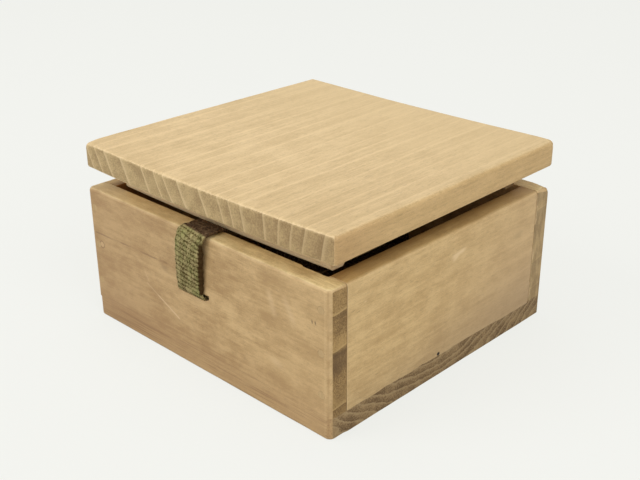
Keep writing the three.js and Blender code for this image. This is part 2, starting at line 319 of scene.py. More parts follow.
class Finish:
    """A material while its nodes are being made."""

    def __init__(self, name, **constants):
        self.material = bpy.data.materials.new(name)
        self.material.use_nodes = True
        self.nodes = self.material.node_tree.nodes
        self.shader = self.nodes["Principled BSDF"]
        self.feed(self.shader, constants)

    def feed(self, node, sockets):
        """Sets or links a node's sockets. In a socket's name, an underscore stands for a space."""
        for key, value in sockets.items():
            if isinstance(key, str):
                key = key.replace("_", " ")
            if isinstance(value, Value):
                self.material.node_tree.links.new(value.socket, node.inputs[key])
            else:
                node.inputs[key].default_value = value

    def node(self, kind, settings, sockets, output=0):
        """Any node: its type, its settings, and the values or links of its sockets."""
        made = self.nodes.new("ShaderNode" + kind)
        for key, setting in settings.items():
            if key == "points":
                curve = made.mapping.curves[0]
                while len(curve.points) < len(setting):
                    curve.points.new(1, 1)
                for point, place in zip(curve.points, setting):
                    point.location = place
                    point.handle_type = "VECTOR"
                made.mapping.update()
            else:
                setattr(made, key, setting)
        self.feed(made, sockets)
        return Value(self, made.outputs[output])

    def mix(self, share, first, second, blend="MIX"):
        """The first colour at 0, and the second mixed in or blended over it at 1."""
        colours = [c if isinstance(c, Value) else (*c, 1) for c in (first, second)]
        settings = {"data_type": "RGBA", "blend_type": blend}
        return self.node("Mix", settings, {0: share, 6: colours[0], 7: colours[1]}, 2)

    def split(self, vector):
        """The three numbers of a vector."""
        parts = self.node("SeparateXYZ", {}, {0: vector})
        return [Value(self, socket) for socket in parts.socket.node.outputs]

    def place(self):
        """x, y and z on the piece, in millimetres."""
        return [way / mm for way in self.split(self.node("TexCoord", {}, {}, "Object"))]

    def noise(self, x, y, z, detail=2.0, roughness=0.5):
        """Noise between 0 and 1 whose grains are 1 wide in these coordinates."""
        there = self.node("CombineXYZ", {}, {0: x, 1: y, 2: z})
        sockets = {"Vector": there, "Scale": 1.0, "Detail": detail, "Roughness": roughness}
        return self.node("TexNoise", {}, sockets)

    def bump(self, height, depth):
        """A surface normal from a height between 0 and 1, depth metres deep."""
        return self.node("Bump", {}, {"Height": height, "Strength": 1.0, "Distance": depth})

    def surface(self, **sockets):
        """The material, once these sockets of its shader are set or linked."""
        self.feed(self.shader, sockets)
        return self.material


def dress(piece, finish, body, slot, *nodes):
    """Gives a finished piece its material and its body, and hides the nodes that it stands for. The slot
    argument is not used.
    """
    piece.data.materials.append(finish)
    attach(piece, body)
    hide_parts(*nodes)


def srgb(red, green, blue):
    """A colour given as it looks on a screen, 0 to 255."""
    shares = [c / 255 for c in (red, green, blue)]
    return tuple(s / 12.92 if s <= 0.04045 else ((s + 0.055) / 1.055)**2.4 for s in shares)


def length_at(point_number):
    """How far along the tape a point of its route lies, in millimetres."""
    return tape_length[np.searchsorted(tape_share, first_route_point + point_number)] / mm


# The stretches outside the box are moss green; the rest is dark brown with pale flecks.
cloth = Finish("woven tape", Roughness=0.9, Specular_IOR_Level=0.15)
weave_uv = cloth.split(cloth.node("UVMap", {"uv_map": "weave"}, {}))
along_mm, across_mm = weave_uv[0] * weave_unit, weave_uv[1] * weave_unit
pick_place = along_mm / (pick_pitch / mm)
pick_number = pick_place.maths("FLOOR", pick_place)
lump_place = across_mm / (yarn_pitch / mm)
lump_number = lump_place.maths("FLOOR", lump_place)
pick_side = (pick_place - pick_number) * 2 - 1
lump_side = (lump_place - lump_number) * 2 - 1
pick_back = 1 - pick_side * pick_side
lump_back = 1 - lump_side * lump_side
cloth_height = (pick_back * 0.75 + 0.25) * (lump_back * 0.3 + 0.7)
lump_tone = cloth.noise(lump_number * 3.7, pick_number * 2.3, 0.0, 0.0) - 0.5
fibre = cloth.noise(along_mm * 1.9 + across_mm * 0.6, across_mm * 1.9, 3.0, 3.0, 0.7) - 0.5
lit = (cloth_height * 0.6 + 0.12 + lump_tone * 0.8 + fibre * 2.3).share(0, 1)
khaki = cloth.mix(lit, srgb(72, 56, 22), srgb(180, 165, 116))
moss = cloth.mix(lit, srgb(62, 57, 18), srgb(153, 150, 94))
is_moss = cloth.noise(along_mm / 5, across_mm / 3.2, 7.0, 3.0).share(0.36, 0.72)
green = cloth.mix(is_moss, khaki, moss)
flecks = cloth.noise(along_mm * 1.5, across_mm * 1.1, 9.0, 3.0, 0.7).share(0.5, 0.66)
brown = cloth.mix(lit * 0.3 + flecks * 0.6, srgb(50, 31, 14), srgb(144, 118, 88))
wandering = along_mm + cloth.noise(across_mm * 0.8, 0.0, 5.0) * 0.8
out_front = wandering.share(length_at(front_rim) + 0.2, length_at(front_rim) + 0.8)
in_front = wandering.share(length_at(front_slot), length_at(front_slot) + 1)
out_back = wandering.share(length_at(back_slot), length_at(back_slot) + 1)
in_back = wandering.share(length_at(back_rim) - 1.3, length_at(back_rim) - 0.7)
is_green = out_front - in_front + out_back - in_back
curl_start = along_mm.share(length_at(curl_from) - 0.8, length_at(curl_from) + 0.8)
curl_end = along_mm.share(length_at(curl_to) - 1, length_at(curl_to))
# Painted shade: the curled right edge of the front stretch, which faces away from the light, is painted dark
# brown.
selvedge_painted_shade = (across_mm + (1 - pick_back) * 0.35).share(4.3, 4.75) * (curl_start - curl_end)
outside_colour = cloth.mix(selvedge_painted_shade * 0.95, green, srgb(58, 37, 9))
cloth_finish = cloth.surface(
    Base_Color=cloth.mix(is_green, brown, outside_colour),
    Normal=cloth.bump(cloth_height * 0.5 + fibre * 0.5, 0.1 * mm),
)
dress(himo, cloth_finish, "box", "woven_tape", "himo_band", "himo_front_coil", "himo_back_coil")


# Bottom board
# One flat paulownia board as large as the whole box, pegged to the walls from below, with its grain from left
# to right. Its dark end grain shows under the right wall, on a line that hand planing left a little wavy.
bottom_low, bottom_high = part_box("bottom_board")
wall_low, wall_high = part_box("right_wall")
outer = Vector((bottom_high.x, bottom_high.y, wall_high.z))
inner = Vector((wall_low.x, wall_high.y, bottom_high.z))
bottom_top = bottom_high.z
near_edge = np.array([0, 0.05, 0.12, 0.22, 0.36, 0.55, 0.8, 1.1, 1.5, 2]) * mm
upright_edges = [1.75 * mm, 1.9 * mm, 1.6 * mm, 0.4 * mm]  # left front, right front, left back, right back
board_step = 1.6 * mm
left_inset = 0.45 * mm
joint_overlap = 0.02 * mm
chip_start = 34.6 * mm  # of the splinter that is missing from the inner edge of the front wall's rim
chip_run = 0.9 * mm  # from there to its full depth
pegs = [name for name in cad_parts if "_peg_" in name]
peg_radius = 1.1 * mm
peg_fit = 0.02 * mm


def grid_lines(low, high, extra=()):
    """Places from low to high, close together near both ends, and a step apart between."""
    count = max(2, round((high - low) / board_step))
    inside = np.linspace(low + near_edge[-1], high - near_edge[-1], count)
    return np.unique(np.round(np.concatenate([low + near_edge, high - near_edge, inside, extra]), 7))


def box_grid(xs, ys, zs):
    """Points and faces of a box whose six sides are grids on those lines."""
    skin = np.ones((len(xs), len(ys), len(zs)), bool)
    skin[1:-1, 1:-1, 1:-1] = False
    number = np.full(skin.shape, -1)
    number[skin] = np.arange(skin.sum())
    points = np.stack(np.meshgrid(xs, ys, zs, indexing="ij"), axis=-1)[skin]
    faces = []
    for axis in range(3):
        for end in (0, -1):
            sheet = np.take(number, end, axis=axis)
            quads = np.stack([sheet[:-1, :-1], sheet[1:, :-1], sheet[1:, 1:], sheet[:-1, 1:]], axis=-1)
            quads = quads.reshape(-1, 4)
            faces.append(quads[:, ::-1] if (end == 0) != (axis == 1) else quads)
    return points, np.concatenate(faces)


def eased(points, low, high, corners, edge):
    """Rounds the edges of a box. corners gives the radius of the upright edges at left front, right front,
    left back and right back, and edge(x, y, top) that of the level ones."""
    low, high = np.array(low), np.array(high)
    centre, half = (low + high) / 2, (high - low) / 2
    off = points - centre
    side = np.where(off < 0, -1.0, 1.0)
    depth = half - abs(off)
    upright = np.array(corners)[(side[:, 0] > 0) * 1 + (side[:, 1] > 0) * 2]
    a, b = upright - depth[:, 0], upright - depth[:, 1]
    corner = (a > 0) & (b > 0)
    inwards = np.where(corner, upright - np.maximum(a, b), np.minimum(depth[:, 0], depth[:, 1]))
    radius = np.maximum(edge(points[:, 0], points[:, 1], side[:, 2] > 0), 1e-9)
    c, e = radius - inwards, radius - depth[:, 2]
    rounded = (c > 0) & (e > 0)
    scale = np.where(rounded, np.maximum(c, e) / np.maximum(np.hypot(c, e), 1e-12), 1)
    moved_in = np.where(rounded, radius - c * scale, inwards)
    depth[:, 2] = np.where(rounded, radius - e * scale, depth[:, 2])
    spoke = np.maximum(np.hypot(a, b), 1e-12)
    nearest = depth[:, 0] <= depth[:, 1]
    for k, reach in ((0, a), (1, b)):
        straight = np.where(nearest == (k == 0), moved_in, depth[:, k])
        depth[:, k] = np.where(corner, upright - (upright - moved_in) * reach / spoke, straight)
    return centre + side * (half - depth)


def wander(place, size, seed):
    """Slow noise along a line, from about -1 to 1."""
    return np.array([noise.noise(Vector((p / size, seed, 0.37))) for p in np.ravel(place)])


def seam_height(y):
    """Where the right wall meets the bottom board, above the underside."""
    back_dip = 0.7 * smoothly(y, 10 * mm, 44 * mm)
    waves = 0.3 * wander(y, 5.5 * mm, 4.2) + 0.13 * wander(y, 1.4 * mm, 8.6) - back_dip
    under_wall = 1 - smoothly(abs(y), inner.y - 0.8 * mm, inner.y)
    return bottom_top + waves * under_wall * mm


def outer_edge(x, y, top):
    """Radius of the level outer edges: handled soft along the rim, softest at its right back corner, and
    nearly sharp along the foot."""
    place = x + 1.7 * y
    rim_edge = 1.1 + 0.3 * wander(place, 13 * mm, 2.1) + 0.12 * wander(place, 2.2 * mm, 5.9)
    rim_edge += 1.2 * smoothly(x + y, outer.x + outer.y - 6 * mm, outer.x + outer.y - 1 * mm)
    foot_edge = np.where(y < -inner.y, 0.75, 0.3) + 0.12 * wander(place, 8 * mm, 1.5)
    return np.where(top, rim_edge, foot_edge) * mm


def inner_edge(x, y):
    """Radius of the rim's inner edge."""
    splinter = 0.7 * smoothly(x, chip_start, chip_start + chip_run) * (y < 0) * (abs(x) < inner.x)
    return (0.3 + 0.12 * wander(x + 1.7 * y, 7 * mm, 3.3) + splinter) * mm


def carcass(points):
    """Eases the edges of the box as if it were one piece, so that its boards stay flush where they meet."""
    points = eased(points, (-outer.x, -outer.y, 0), outer, upright_edges, outer_edge)
    from_cavity = abs(points[:, :2]) - np.array(inner[:2])
    nearest = from_cavity.argmax(axis=1)
    inwards, down = from_cavity.max(axis=1), outer.z - points[:, 2]
    radius = inner_edge(points[:, 0], points[:, 1])
    c, e = radius - inwards, radius - down
    rounded = (inwards > -joint_overlap) & (c > 0) & (e > 0)
    scale = np.where(rounded, np.maximum(c, e) / np.maximum(np.hypot(c, e), 1e-12), 1)
    for k in (0, 1):
        move = np.where(rounded & (nearest == k), c * (1 - scale), 0)
        points[:, k] += np.sign(points[:, k]) * move
    points[:, 2] -= np.where(rounded, e * (1 - scale), 0)
    return points


def plank(name, low, high, finishing, extra_x=()):
    """A board as a fine grid, whose points the finishing then moves."""
    lines = [grid_lines(low[k], high[k], extra_x if k == 0 else ()) for k in range(3)]
    points, faces = box_grid(*lines)
    return mesh_object(name, finishing(points), faces)


def bottom_finishing(points):
    """The wavy seam under the right wall, and the left end that is cut a little short."""
    under_wall = smoothly(points[:, 0], inner.x, inner.x + 0.6 * mm)
    near_top = np.clip(points[:, 2] / bottom_top, 0, 1)
    points[:, 2] += (seam_height(points[:, 1]) - bottom_top) * under_wall * near_top
    points = carcass(points)
    points[:, 0] += left_inset * smoothly(-points[:, 0], outer.x - 12 * mm, outer.x - 2 * mm)
    return points


class Timber(Finish):
    """Planed paulownia. fibre is the axis that the grain follows, and rings(wood) counts growth rings. faces
    gives a pale and a dark tone; ends gives a pale and a dark one and that of the line between two rings."""

    def __init__(self, name, fibre, rings, faces, ends, seed, figure=1.0, mottle=1.0, line_share=0.2,
                 ring_on_face=0.1, end_from=0.75, **constants):
        super().__init__(name, **constants)
        self.x, self.y, self.z = self.place()
        self.along = "XYZ".index(fibre)
        self.seed = seed
        normal = self.split(self.node("NewGeometry", {}, {}, "Normal"))
        facing = [abs(way) for way in normal]
        self.is_end = facing[self.along].share(end_from, end_from + 0.06)
        self.is_face = 1 - self.is_end
        self.is_side = facing[0].share(0.3, 0.8)
        self.is_level = facing[2].share(0.6, 0.95)
        self.is_under = (-normal[2]).share(0.1, 0.5)
        self.is_edge = 1 - (facing[0] ** 4 + facing[1] ** 4 + facing[2] ** 4).share(0.6, 0.97)

        count = rings(self)
        phase = count.maths("FRACT", count)
        line = 1 - phase.share(0, line_share) + phase.share(1 - line_share / 4, 1)
        fine = self.streaks(0.3, 4.5, 0, 3.0, 0.65)
        threads = self.streaks(0.8, 45, 7)
        bands = self.streaks(2.6, 90, 13)
        patches = self.streaks(5, 10, 19, 4.0, 0.65)
        pores = self.noise(self.x / 0.45, self.y / 0.45, self.z / 0.45, 2.0, 0.7) - 0.5
        grain = (fine + threads + bands * 0.7) * figure
        tone = 0.5 + grain + patches * mottle + pores * 0.7 + line * ring_on_face
        face = self.mix(tone.share(0, 1), faces[1], faces[0])
        vessels = self.streaks(0.17, 2.2, 31, 1.0).share(0.08, 0.2)
        face = self.mix(vessels * 0.22, face, srgb(96, 66, 38))

        clouds = self.noise(self.x / 4 + seed, self.y / 4, self.z / 4, 2.0) - 0.5
        end_tone = 0.5 + pores * 1.7 + clouds * 1.1 + (0.5 - phase) * 0.4
        end = self.mix(end_tone.share(0, 1), ends[1], ends[0])
        end = self.mix((line * 0.8 + pores * 0.6).share(0, 1), end, ends[2])
        self.colour = self.mix(self.is_end, face, end)
        self.height = fine * 0.5 - vessels * 0.35 + pores * self.is_end * 0.6 + 0.5

    def streaks(self, across, length, number, detail=2.0, roughness=0.5):
        """Noise drawn out along the fibres, about 0."""
        sizes = [length if k == self.along else across for k in range(3)]
        place = [way / size + (self.seed + number) for way, size in zip((self.x, self.y, self.z), sizes)]
        return self.noise(*place, detail, roughness) - 0.5

    def stroke(self, across, up, start, end, reach):
        """A soft stroke from start to end on a face: 1 in its middle, and 0 at a reach aside."""
        length = math.dist(start, end)
        way = [(e - s) / length for s, e in zip(start, end)]
        off_across = across - (start[0] + end[0]) / 2
        off_up = up - (start[1] + end[1]) / 2
        along = off_across * way[0] + off_up * way[1]
        aside = off_up * way[0] - off_across * way[1]
        return aside.near(0, reach) * (1 - abs(along).share(length / 2 - reach, length / 2 + reach))

    def stain(self, share, tone, blend="MIX"):
        """Lays a tone over the colour, by a share from 0 to 1."""
        self.colour = self.mix(share, self.colour, tone, blend)

    def strokes(self, across, up, rows):
        """Soft strokes on a face. Each row gives a start, an end, a reach, a share and a colour."""
        for start, end, reach, share, tone in rows:
            self.stain(self.stroke(across, up, start, end, reach) * share, srgb(*tone))

    def planed(self, depth):
        """The finished material, with fibres that stand out by depth in metres."""
        return self.surface(Base_Color=self.colour, Normal=self.bump(self.height, depth))


def bottom_rings(wood):
    """Wide arcs around a pith that was above the box, near its middle."""
    from_pith = ((wood.y + 6) ** 2 + (54 - wood.z) ** 2) ** 0.5
    waves = wood.noise(wood.x / 40, wood.y / 13, wood.z / 5, 4.0, 0.62) - 0.5
    return (from_pith + waves * 6.5) / 2.8


def is_inner(depth):
    """1 on the inner face of a wall, and 0 deeper in the wood."""
    return 1 - depth.share(0.05, 0.3)


def handled(wood, depth, rim_painted_light, mouth_painted_shade):
    """The colour that every wall of the box gets: pale edges, partly wear and partly a painted highlight; a
    rim painted lighter or darker for the light that reaches it under the lid, with painted shade towards the
    cavity;
    and painted shade high on the inner face. depth is the distance to the cavity, in millimetres."""
    # Pale edges: partly wear, partly a painted highlight on the rounded edges.
    wear_and_highlight = wood.streaks(3, 7, 51, 3.0).share(-0.2, 0.15)
    wood.stain(wood.is_edge * wood.is_face * wear_and_highlight * 0.35, srgb(226, 196, 146))
    rim = wood.is_level * wood.is_face * wood.z.share(39, 41)
    # Painted light: the rim is made lighter or darker to stand in for the light that reaches it under the
    # lid.
    wood.stain(rim, rim_painted_light, "MULTIPLY")
    # Painted shade: the rim darkens towards the cavity, under the lid.
    wood.stain(rim * (1 - depth.share(0, 5.5)), mouth_painted_shade, "MULTIPLY")
    # Painted shade: the inner face is darkened high up, under the lid.
    wood.stain(is_inner(depth) * wood.z.share(22, 38), (0.66, 0.42, 0.22), "MULTIPLY")


def marked(wood, marks, depth):
    """Puts marks on a wall, except on its inner face."""
    bare = wood.colour
    marks(wood)
    wood.colour = wood.mix(wood.is_face * is_inner(depth), wood.colour, bare)


def foot_stain(wood):
    """Brown and streaky towards the foot and the left, and paler to the right, with a pale line of painted
    highlight where the right edge starts to round, and a darker line on that round.
    """
    upright = wood.is_face * (1 - wood.is_level)
    wood.stain(wood.x.share(12, 42) * upright * 0.2, srgb(224, 190, 136))
    # A pale line of painted highlight where the right edge starts to round.
    wood.stain(wood.x.near(48.3, 0.5) * upright * 0.3, srgb(226, 196, 146))
    wood.stain(wood.x.near(49.1, 0.4) * upright * 0.4, srgb(160, 124, 80))
    left = (-wood.x).share(-20, 50)
    low = (14 - wood.z).share(-6, 14)
    wood.stain((left * 0.65 + low * 0.5) * wood.is_face * 0.6, srgb(174, 137, 96))
    dark_lines = wood.streaks(0.42, 30, 3, 2.0, 0.6).share(0.02, 0.16) * (11 - wood.z).share(0, 8)
    wood.stain(dark_lines * wood.is_face * 0.5, srgb(140, 102, 66))


def cut_by(piece, cutter):
    """Takes a cutter away from a piece."""
    cut = piece.modifiers.new("cut", "BOOLEAN")
    cut.object = cutter
    cut.solver = "EXACT"
    done = bpy.data.meshes.new_from_object(piece.evaluated_get(bpy.context.evaluated_depsgraph_get()))
    piece.modifiers.clear()
    piece.data = done
    bpy.data.objects.remove(cutter)
    piece.data.set_sharp_from_angle(angle=math.radians(40))


def peg_holes(names):
    """The holes for the pegs of these names, as one cutter."""
    sides = 24
    overrun = 0.4 * mm
    points, faces = [], []
    for name in names:
        low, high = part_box(name)
        axis = max(range(3), key=lambda k: high[k] - low[k])
        centre, half = (low + high) / 2, (high - low) / 2
        start = len(points)
        for end in (-1, 1):
            for i in range(sides):
                around = (math.cos(math.tau * i / sides), math.sin(math.tau * i / sides))
                offset = [v * (peg_radius + peg_fit) for v in around]
                offset.insert(axis, end * (half[axis] + overrun))
                points.append(centre + Vector(offset))
        first, second = [range(start + end * sides, start + (end + 1) * sides) for end in (0, 1)]
        rings = [(first[i], first[(i + 1) % sides], second[(i + 1) % sides], second[i]) for i in range(sides)]
        made = [list(reversed(first)), list(second), *rings]
        faces += [f[::-1] for f in made] if axis == 1 else made
    return mesh_object("holes", points, faces)


bottom = plank("bottom_plank", bottom_low, bottom_high, bottom_finishing)
cut_by(bottom, peg_holes([peg for peg in pegs if peg.startswith("floor")]))
wood = Timber(
    "bottom wood", "X", bottom_rings,
    faces=(srgb(213, 180, 128), srgb(180, 145, 98)),
    ends=(srgb(170, 142, 98), srgb(106, 80, 46), srgb(172, 146, 104)),
    seed=3, line_share=0.4, end_from=0.88, Roughness=0.6,
)
foot_stain(wood)
dress(bottom, wood.planed(0.06 * mm), "box", "bottom_wood", "bottom_board")


# Front and back walls
# Two quarter-sawn boards that run the whole length of the box, so that their end grain shows at its sides.
# Each has a chiselled slot for the tape, and is pegged to the ends of the side walls.
slot_low = Vector((-8.2, -8, 23.15)) * mm
slot_high = Vector((4.7, 8, 25.25)) * mm
slot_corner = 2 * mm
slot_corner_share = 0.45  # of the slot's height, where the chisel left wood in at its lower right corner
slot_lines = 9


def slot_cutter(wall_middle):
    """The slot's opening, right through a wall, without the wood left in at its lower right corner."""
    low, high = [corner + Vector((0, wall_middle, 0)) for corner in (slot_low, slot_high)]
    points, faces = box_grid(*[np.linspace(low[k], high[k], slot_lines) for k in range(3)])
    left_in = smoothly(points[:, 0], high.x - slot_corner, high.x)
    points[:, 2] += left_in * (high.z - points[:, 2]) * slot_corner_share
    return mesh_object("slot", points, faces)


def ring_count(wood, place, lines, low, high):
    """Growth rings counted along a place from low to high: the next one starts at each of the lines."""
    last = len(lines) + 1
    marks = [((line - low) / (high - low), (i + 1) / last) for i, line in enumerate(lines)]
    share = (place - low) / (high - low)
    return wood.node("FloatCurve", {"points": [(0, 0), *marks, (1, 1)]}, {0: 1.0, 1: share}) * last


def quarter_rings(wood):
    """Nearly level growth rings, wide apart: on the front their lines show about 9, 26 and 36 mm up."""
    waves = wood.noise(wood.x / 45, wood.y / 8, wood.z / 30, 1.0) - 0.5
    level = wood.z - wood.y * 0.12 + waves * 2 - 5.4
    return ring_count(wood, level, [9, 26, 35.8], 0, 50)


def front_marks(wood):
    """What years of handling left on the front: a dark thread in the grain, scratches, smears and dots."""
    x, z = wood.x, wood.z
    broken = wood.streaks(0.9, 5, 43, 3.0).share(-0.16, 0.1)
    thread = wood.stroke(x, z, (-48, 28.5), (-13, 29.4), 0.5)
    wood.stain(thread * broken * 0.6, srgb(120, 84, 52))
    wood.strokes(x, z, [
        ((-16, 27.7), (-13, 27.3), 1.6, 0.35, (120, 90, 60)),
        ((-23.5, 19.8), (-18.5, 17.5), 0.4, 0.4, (228, 198, 154)),
        ((-18.5, 17.5), (-9, 13.2), 0.45, 0.7, (232, 203, 160)),
        ((-24, 23.3), (-22.5, 20.6), 0.4, 0.35, (228, 198, 154)),
        ((43.9, 32.9), (44.1, 32.1), 0.4, 0.75, (84, 58, 32)),
        ((45, 32.9), (45.2, 32.1), 0.4, 0.75, (84, 58, 32)),
        ((28.5, 35.4), (30.8, 29.1), 1.7, 0.4, (226, 196, 150)),
        ((34.3, 35.5), (37.7, 29.4), 1.7, 0.4, (226, 196, 150)),
        ((29, 16), (33, 15), 1.7, 0.4, (226, 196, 150)),
        ((34, 16), (37, 14.5), 6, 0.3, (222, 190, 136)),
    ])
    peg_rim = ((x + 45) ** 2 + (z - 25.2) ** 2) ** 0.5
    wood.stain(peg_rim.near(1.1, 0.3) * wood.is_face * 0.6, srgb(128, 92, 58))
    wood.stain((1 - peg_rim.share(0.6, 1)) * wood.is_face * 0.5, srgb(216, 184, 138))
    dark_bands = z.near(24.6, 1.6) * 0.5 + z.near(21.5, 4.5) * 0.6 + z.near(35, 1) * 0.35
    wood.stain((dark_bands + (18 - z).share(0, 8) * 0.15) * wood.is_end, srgb(88, 62, 30))


def back_marks(wood):
    """At the right end, the side wall laps a little over the blotched end grain on a wavy line."""
    lip_line = wood.noise(wood.z / 4, 0.0, 5.0, 3.0) * 4.5 + 39.2
    lip = 1 - (wood.y - lip_line).share(-0.12, 0.12)
    wood.stain(wood.is_end * 0.55, srgb(204, 178, 132))
    blotches = wood.noise(wood.z / 7, wood.y / 2.5, 3.0, 4.0, 0.6).share(0.4, 0.6)
    wood.stain(wood.is_end * blotches * 0.45, srgb(126, 98, 56))
    wood.stain(lip * wood.x.share(49, 49.4), srgb(210, 180, 132))


wall_ends = (srgb(184, 150, 93), srgb(122, 92, 48), srgb(194, 161, 104))
chip_lines = np.linspace(chip_start, chip_start + chip_run, 5)
for face, way, marks in (("front", -1, front_marks), ("back", 1, back_marks)):
    node = face + "_wall"
    low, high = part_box(node)
    low.z = bottom_top
    wall = plank(face + "_plank", low, high, carcass, chip_lines)
    cut_by(wall, slot_cutter(way * (outer.y + inner.y) / 2))
    wall_pegs = [peg for peg in pegs if "_peg_" + face in peg and not peg.startswith("batten")]
    cut_by(wall, peg_holes(wall_pegs))
    wood = Timber(
        node + " wood", "X", quarter_rings,
        faces=(srgb(218, 185, 132), srgb(180, 145, 96)), ends=wall_ends,
        seed=11 + way, figure=0.6, mottle=2.1, line_share=0.07, end_from=0.89, Roughness=0.55,
    )
    foot_stain(wood)
    from_cavity = abs(wood.y) - inner.y / mm
    marked(wood, marks, from_cavity)
    # The front and back rims are painted lighter, for the light that reaches them under the lid.
    handled(wood, from_cavity, rim_painted_light=(1.22, 1.38, 1.46), mouth_painted_shade=(0.98, 0.98, 0.96))
    dress(wall, wood.planed(0.05 * mm), "box", "wall_wood", node)


# Left and right walls
# Two shorter paulownia boards with the grain from front to back. They stand on the bottom board, between the
# front and back walls, and pegs through those walls hold their ends.
def side_finishing(points):
    """The wavy seam under the right wall."""
    near_foot = np.clip((outer.z - points[:, 2]) / (outer.z - bottom_top), 0, 1) * (points[:, 0] > 0)
    points[:, 2] += (seam_height(points[:, 1]) - bottom_top) * near_foot
    return carcass(points)


def side_rings(wood):
    """Long arcs that rise a little towards the back."""
    return (wood.z - wood.y * 0.07 + wood.noise(wood.x / 9, wood.y / 45, wood.z / 20) * 6) / 6


def right_marks(wood):
    """The right wall is greyer low down and at its back; along its joints with the front and back walls it
    has pale lines of painted highlight.
    """
    y, z = wood.y, wood.z
    wood.stain((y - z * 0.9).share(-45, 35) * 0.5, srgb(202, 170, 130))
    wood.stain((20 - z + y * 0.1).share(-4, 18), (0.82, 0.82, 0.86), "MULTIPLY")
    wood.stain((-y).share(5, 40) * wood.is_level, (0.93, 0.9, 0.85), "MULTIPLY")
    # Painted highlights: pale lines along the joints with the front and back walls.
    wood.stain((-y).near(41.15, 0.45) * 0.8, srgb(232, 202, 152))
    wood.stain(y.near(41.15, 0.3) * 0.25, srgb(232, 202, 152))
    wood.stain((y.near(-3.5, 1.0) * z.near(7, 0.85)).share(0.1, 0.6), srgb(26, 16, 10))
    wood.strokes(y, z, [
        ((0.8, 35.1), (6.4, 35.9), 1.1, 1, (236, 206, 156)),
        ((1.4, 34.1), (3.6, 35), 1.1, 0.9, (236, 206, 156)),
        ((-35, 35.4), (-34, 35.3), 0.5, 0.5, (236, 206, 156)),
        ((31, 31.5), (34.5, 31.7), 1.8, 0.3, (150, 122, 86)),
        ((-39.6, 34.2), (-38.4, 34.4), 0.2, 0.4, (110, 80, 48)),
        ((-37.6, 33.4), (-36.4, 33.6), 0.2, 0.4, (110, 80, 48)),
    ])


for side, way in (("left", -1), ("right", 1)):
    node = side + "_wall"
    low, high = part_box(node)
    low = (low.x, -inner.y, bottom_top)
    high = (high.x, inner.y, high.z)
    wall = plank(side + "_plank", low, high, side_finishing)
    wood = Timber(
        node + " wood", "Y", side_rings,
        faces=(srgb(227, 195, 138), srgb(198, 164, 110)), ends=wall_ends,
        seed=21 + way, figure=0.6, mottle=1.7, ring_on_face=0.12, Roughness=0.55,
    )
    from_cavity = abs(wood.x) - inner.x / mm
    if side == "right":
        marked(wood, right_marks, from_cavity)
    # The side rims are painted darker, and much darker towards the cavity, for the shade under the lid.
    handled(wood, from_cavity, rim_painted_light=(0.86, 0.84, 0.77), mouth_painted_shade=(0.58, 0.5, 0.38))
    dress(wall, wood.planed(0.05 * mm), "box", "wall_wood", node)


# Pegs
# Whittled wooden pegs that hold the boards together: three at each corner, two under each wall and two in
# each batten. The corner pegs are cut flush; the others end a little inside the face they were driven from.
wood = Timber(
    "peg wood", "Z", lambda wood: wood.x / 0.8,
    faces=(srgb(208, 178, 128), srgb(190, 158, 110)),
    ends=(srgb(196, 166, 118), srgb(170, 138, 94), srgb(206, 176, 130)),
    seed=31, Roughness=0.6,
)
peg_finish = wood.planed(0.03 * mm)


def refinish(node, finish):
    """Gives a piece that keeps its plain shape a better material."""
    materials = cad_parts[node].data.materials
    materials.clear()
    materials.append(finish)


for peg in pegs:
    refinish(peg, peg_finish)


# Lid
# One thick paulownia board with its grain from front to back, gently cupped with age. It lies loose on the
# tape that is folded over the rims, turned and shifted a little.
lid_turn = math.radians(0.35)
lid_shift = Vector((1.1, 0.1, 48.5)) * mm
lid_size = Vector((100, 94.5, 7.7)) * mm
lid_low = (-lid_size.x / 2, -lid_size.y / 2, 0)
lid_high = (lid_size.x / 2, lid_size.y / 2, lid_size.z)
lid_cup = 0.9 * mm
lid_back_rise = 0.5 * mm  # the cup in the top face is this much shallower at the back
lid_back_left = Vector((0.8, 0.5)) * mm  # how far that corner is off the square
lid_corners = [0.95 * mm, 1.3 * mm, 0.7 * mm, 2.2 * mm]  # left front, right front, left back, right back


def lid_edge(x, y, top):
    """Radius of the level edges: softest on the right side and at the left front corner, crisp elsewhere."""
    place = x + 1.7 * y
    base = np.where(y < -lid_size.y / 2 + 3 * mm, 0.95, 0.75)
    base = np.where((x > lid_size.x / 2 - 3 * mm) & (lid_size.x / 2 - x < lid_size.y / 2 - abs(y)), 1.5, base)
    reach = (lid_size.x + lid_size.y) / 2
    base += 0.9 * smoothly(-x - y, reach - 5 * mm, reach - 1 * mm)
    base += 0.7 * smoothly(x + y, reach - 6 * mm, reach)
    rounded = base + 0.15 * wander(place, 12 * mm, 9.1) + 0.08 * wander(place, 2.5 * mm, 9.7)
    return np.where(top, rounded, 0.8) * mm


def lid_finishing(points):
    """Rounds the lid's edges, cups it, and puts it where it lies."""
    points = eased(points, lid_low, lid_high, lid_corners, lid_edge)
    flatter = smoothly(points[:, 1], -30 * mm, 46 * mm) * (1 - (2 * points[:, 0] / lid_size.x)**2)
    points[:, 2] += lid_back_rise * flatter * points[:, 2] / lid_size.z
    cup_radius = ((lid_size.x / 2)**2 + lid_cup**2) / (2 * lid_cup)
    points[:, 2] += cup_radius - np.sqrt(cup_radius**2 - points[:, 0]**2)
    leftness = smoothly(-points[:, 0], 0, lid_size.x / 2)
    backness = smoothly(points[:, 1], -20 * mm, lid_size.y / 2)
    points[:, 0] += lid_back_left.x * leftness * backness
    points[:, 1] += lid_back_left.y * leftness * backness
    turn = np.array(Matrix.Rotation(lid_turn, 3, "Z"))
    return points @ turn.T + np.array(lid_shift)


lid = plank("lid_plank", lid_low, lid_high, lid_finishing)
